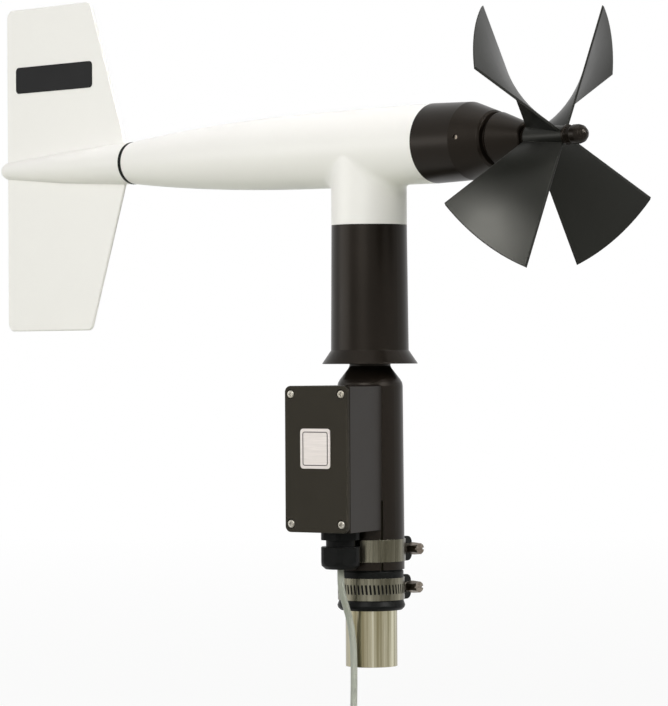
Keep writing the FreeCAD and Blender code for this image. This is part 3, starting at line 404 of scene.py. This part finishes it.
slotMaterial = {
    "white_plastic": mouldedPlastic("whiteHousing", plasticFinish["white"]),
    "black_plastic": mouldedPlastic("blackHousing", plasticFinish["black"]),
    "box_plastic": mouldedPlastic("junctionBox", plasticFinish["box"]),
    "propeller_plastic": mouldedPlastic("propellerPlastic", plasticFinish["propeller"]),
    "sensor_plastic": mouldedPlastic("sensorPlastic", plasticFinish["sensor"]),
    "panel_black": mouldedPlastic("vanePanel", plasticFinish["panel"]),
    "black_rubber": mouldedPlastic("sealRubber", plasticFinish["rubber"]),
    "board_green": mouldedPlastic("circuitBoard", plasticFinish["board"]),
    "polished_steel": metalFinish("mastSteel", metalKinds["pipe"]),
    "band_steel": metalFinish("bandSteel", metalKinds["band"]),
    "clamp_steel": metalFinish("clampSteel", metalKinds["clamp"]),
    "stainless_steel": metalFinish("screwSteel", metalKinds["screw"]),
    "plate_aluminium": metalFinish("plateAluminium", metalKinds["plate"]),
    "copper_coil": metalFinish("coilCopper", metalKinds["copper"]),
    "magnet_grey": metalFinish("magnetFerrite", metalKinds["magnet"]),
    "grey_cable": buildCableJacket(jacket),
}
ownFinish = {
    "cover_screws": metalFinish("coverScrewSteel", metalKinds["coverScrew"]),
    "gland_body": mouldedPlastic("glandNylon", plasticFinish["gland"]),
    "orientation_ring": mouldedPlastic("ringPlastic", plasticFinish["gland"]),
}
ownFinish["gland_nut"] = ownFinish["gland_body"]
for nodeName, node in frame["nodes"].items():
    node.data.materials.clear()
    node.data.materials.append(ownFinish.get(nodeName, slotMaterial[slotOf[nodeName]]))
print("finishes built:", len(slotMaterial))


# thin border line let into the bare plate on the box cover
plateBorder = {
    "heading": -79.0,  # degrees, the way the box cover faces
    "inset": 0.0019,
    "line": 0.0005,
    "corner": 0.0016,
    "cornerSegments": 6,
    "widthShare": 0.89,  # width beside the height
    "stand": 0.00012,
}


def plateFace(outward, spec):
    # how far out the plate's own front face stands
    plate = frame["nodes"]["blank_plate"].data
    return max(outward.dot(vertex.co) for vertex in plate.vertices) + spec["stand"]


def buildPlateBorder(spec):
    low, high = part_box("blank_plate")
    heading = math.radians(spec["heading"])
    outward = Vector((math.cos(heading), math.sin(heading), 0))
    height = high.z - low.z - 2 * spec["inset"]
    width = height * spec["widthShare"]
    shape = bmesh.new()
    bmesh.ops.create_grid(shape, x_segments=1, y_segments=1, size=0.5)
    bmesh.ops.scale(shape, verts=shape.verts, vec=(width, height, 1))
    bmesh.ops.bevel(shape, geom=shape.verts[:], offset=spec["corner"], affect="VERTICES",
                    segments=spec["cornerSegments"], profile=0.5, material=-1)
    bmesh.ops.inset_region(shape, faces=shape.faces[:], thickness=spec["line"], use_boundary=True)
    field = max(shape.faces, key=lambda face: face.calc_area())
    bmesh.ops.delete(shape, geom=[field], context="FACES")
    turn = Matrix.Rotation(heading + math.pi / 2, 4, "Z") @ Matrix.Rotation(math.pi / 2, 4, "X")
    bmesh.ops.transform(shape, matrix=turn, verts=shape.verts)
    middle = (low + high) / 2
    place = middle + outward * (plateFace(outward, spec) - outward.dot(middle))
    bmesh.ops.translate(shape, verts=shape.verts, vec=place)
    mesh = bpy.data.meshes.new("plateBorder")
    shape.to_mesh(mesh)
    shape.free()
    mesh.materials.append(slotMaterial["panel_black"])
    piece = bpy.data.objects.new("plateBorder", mesh)
    bpy.context.scene.collection.objects.link(piece)
    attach(piece, "mount")
    return piece


buildPlateBorder(plateBorder)
print("plate border laid")


# signal cable: one spline down the mast and round the put-away turns
cable = {
    "radius": 0.0022,
    "length": 3.0,
    "exit": (0.00674, -0.03465),  # across the gland nut; its height is the nut's lower end
    "route": [(6.74, -34.65, 69.0), (6.74, -34.65, 60.5), (6.3, -34.0, 53.4), (5.4, -31.4, 46.4),
              (4.4, -27.4, 39.2), (3.4, -23.7, 32.0), (3.12, -21.26, 24.0), (3.55, -20.14, 13.0),
              (3.91, -20.21, 0.0), (4.54, -20.99, -14.0), (5.32, -22.19, -28.0)],
    "lead": [(5.6, -24.2, -38.0), (3.2, -31.0, -46.0), (-2.6, -37.2, -53.0),
             (-9.8, -39.0, -60.5), (-15.4, -38.0, -69.5)],
    "coilCentre": (3.4, -27.0, -80.0),
    "innerTurn": 0.0220,
    "spacing": 0.0045,
    "columns": 4,
    "turns": 16.0,
    "pointsEachTurn": 14,
    "layerStep": 0.35,
    "roundness": 5,
    "smoothness": 6,
}


def coilPoints(spec):
    # each layer crosses the bundle once, then steps out over the last part of its turns
    centre = Vector(spec["coilCentre"]) / 1000
    columns = spec["columns"]
    points = []
    for i in range(int(spec["turns"] * spec["pointsEachTurn"])):
        turn = i / spec["pointsEachTurn"]
        layer = int(turn // columns)
        across = turn % columns
        climb = max(0.0, (across - columns + spec["layerStep"]) / spec["layerStep"])
        across = min(across * (columns - 1) / (columns - spec["layerStep"]), columns - 1)
        if layer % 2:
            across = columns - 1 - across
        side = (across - (columns - 1) / 2) * spec["spacing"]
        radius = spec["innerTurn"] + (layer + climb) * spec["spacing"]
        angle = math.pi + 2 * math.pi * turn
        points.append(centre + Vector((radius * math.cos(angle), side, radius * math.sin(angle))))
    return points


def buildCable(spec):
    curve = bpy.data.curves.new("signalCable", "CURVE")
    curve.dimensions = "3D"
    curve.bevel_depth = spec["radius"]
    curve.bevel_resolution = spec["roundness"]
    curve.use_fill_caps = True
    curve.resolution_u = spec["smoothness"]
    line = curve.splines.new("NURBS")
    points = [Vector(p) / 1000 for p in spec["route"] + spec["lead"]] + coilPoints(spec)
    line.points.add(len(points) - 1)
    for point, place in zip(line.points, points):
        point.co = (*place, 1)
    line.order_u = 3
    line.use_endpoint_u = True
    piece = bpy.data.objects.new("signalCable", curve)
    bpy.context.scene.collection.objects.link(piece)
    curve.materials.append(slotMaterial["grey_cable"])
    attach(piece, "mount")
    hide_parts("signal_cable", "cable_coil")
    return piece


signalCable = buildCable(cable)
print("cable laid")


# stage: floor, white surroundings, lamps and camera
stage = {
    "floorHeight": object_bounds()[0][2] - 0.004,
    "floorSize": 14.0,
    "floorCells": 8,
    "floorDark": (0.44, 0.46, 0.38),
    "floorLight": (0.50, 0.52, 0.44),
    "floorRoughness": 0.9,
    "floorGrain": (40.0, 0.8),
    "floorShare": (0.93, 1.0),
    "floorFade": (0.8, 4.0),
    "worldStrength": 0.30,
    "lamps": [
        {"name": "keyLamp", "place": (0.90, -2.20, 1.20), "target": (0, 0, 0.25),
         "size": (1.2, 1.2), "power": 33.0, "spread": 180},
        {"name": "topLamp", "place": (0.0, -0.30, 2.30), "target": (0, 0, 0.30),
         "size": (1.5, 1.5), "power": 4.2, "spread": 180},
        {"name": "windowLamp", "place": (-1.35, -1.75, 0.42), "target": (0, 0, 0.27),
         "size": (1.5, 0.6), "power": 8.5, "spread": 180},
        {"name": "propellerLamp", "place": (1.90, 0.20, 1.50), "target": (0.16, -0.05, 0.28),
         "size": (1.1, 1.1), "power": 3.0, "spread": 26},
    ],
    "cameraPlace": (1.54559, -1.58383, 0.199),
    "cameraTurn": (90.07, 0.33, 44.9),
    "lens": 174.9,
    "sensor": 36.0,
}


def seenDirectly(tree):
    path = addNode(tree, "ShaderNodeLightPath")
    seen = mathNode(tree, "MAXIMUM", path.outputs["Is Camera Ray"], path.outputs["Is Glossy Ray"])
    return mathNode(tree, "MAXIMUM", seen, path.outputs["Is Transmission Ray"])


def whiteToCamera(tree, surface, share):
    seen = seenDirectly(tree)
    glow = addNode(tree, "ShaderNodeEmission", {"Color": (1, 1, 1, 1), "Strength": 1.0})
    mixer = addNode(tree, "ShaderNodeMixShader", {0: mathNode(tree, "MULTIPLY", seen, share)})
    tree.links.new(surface, mixer.inputs[1])
    tree.links.new(glow.outputs[0], mixer.inputs[2])
    return mixer.outputs[0]


def buildFloor(spec):
    material, tree, shader, coords = newMaterial("paleFloor")
    grain = useGroup(tree, mouldGrain, {"Vector": coords, "Scale": spec["floorGrain"][0],
                                        "Cloud Scale": spec["floorGrain"][1]})
    tone = mixColor(tree, grain.outputs["Cloud"], (*spec["floorDark"], 1),
                    (*spec["floorLight"], 1))
    tree.links.new(tone, shader.inputs["Base Color"])
    shader.inputs["Roughness"].default_value = spec["floorRoughness"]
    output = tree.nodes["Material Output"]
    reach = addNode(tree, "ShaderNodeVectorMath", {0: coords}, operation="LENGTH")
    share = addNode(tree, "ShaderNodeMapRange",
                    {"Value": reach.outputs["Value"], "From Min": spec["floorFade"][0],
                     "From Max": spec["floorFade"][1], "To Min": spec["floorShare"][0],
                     "To Max": spec["floorShare"][1]})
    tree.links.new(whiteToCamera(tree, shader.outputs[0], share.outputs[0]),
                   output.inputs["Surface"])
    shape = bmesh.new()
    bmesh.ops.create_grid(shape, x_segments=spec["floorCells"], y_segments=spec["floorCells"],
                          size=spec["floorSize"] / 2)
    bmesh.ops.translate(shape, verts=shape.verts, vec=(0, 0, spec["floorHeight"]))
    mesh = bpy.data.meshes.new("paleFloor")
    shape.to_mesh(mesh)
    shape.free()
    mesh.materials.append(material)
    floor = bpy.data.objects.new("paleFloor", mesh)
    bpy.context.scene.collection.objects.link(floor)
    return floor


def buildWorld(spec):
    world = bpy.data.worlds.new("whiteRoom")
    world.use_nodes = True
    tree = world.node_tree
    tree.nodes.clear()
    room = addNode(tree, "ShaderNodeBackground",
                   {"Color": (1, 1, 1, 1), "Strength": spec["worldStrength"]})
    backdrop = addNode(tree, "ShaderNodeBackground", {"Color": (1, 1, 1, 1), "Strength": 1.0})
    mixer = addNode(tree, "ShaderNodeMixShader", {0: seenDirectly(tree)})
    tree.links.new(room.outputs[0], mixer.inputs[1])
    tree.links.new(backdrop.outputs[0], mixer.inputs[2])
    output = addNode(tree, "ShaderNodeOutputWorld")
    tree.links.new(mixer.outputs[0], output.inputs["Surface"])
    bpy.context.scene.world = world


def buildLamps(spec):
    for entry in spec["lamps"]:
        lamp = bpy.data.lights.new(entry["name"], "AREA")
        lamp.shape = "RECTANGLE"
        lamp.size = entry["size"][0]
        lamp.size_y = entry["size"][1]
        lamp.energy = entry["power"]
        holder = bpy.data.objects.new(entry["name"], lamp)
        holder.location = entry["place"]
        lamp.spread = math.radians(entry["spread"])
        aim = Vector(entry["target"]) - Vector(entry["place"])
        holder.rotation_euler = aim.to_track_quat("-Z", "Y").to_euler()
        bpy.context.scene.collection.objects.link(holder)


def buildCamera(spec):
    camera = bpy.data.cameras.new("viewCamera")
    camera.lens = spec["lens"]
    camera.sensor_width = spec["sensor"]
    holder = bpy.data.objects.new("viewCamera", camera)
    holder.location = spec["cameraPlace"]
    holder.rotation_euler = [math.radians(angle) for angle in spec["cameraTurn"]]
    bpy.context.scene.collection.objects.link(holder)
    bpy.context.scene.camera = holder


buildFloor(stage)
buildWorld(stage)
buildLamps(stage)
buildCamera(stage)
bpy.context.scene.view_settings.view_transform = "Standard"
print("stage set")
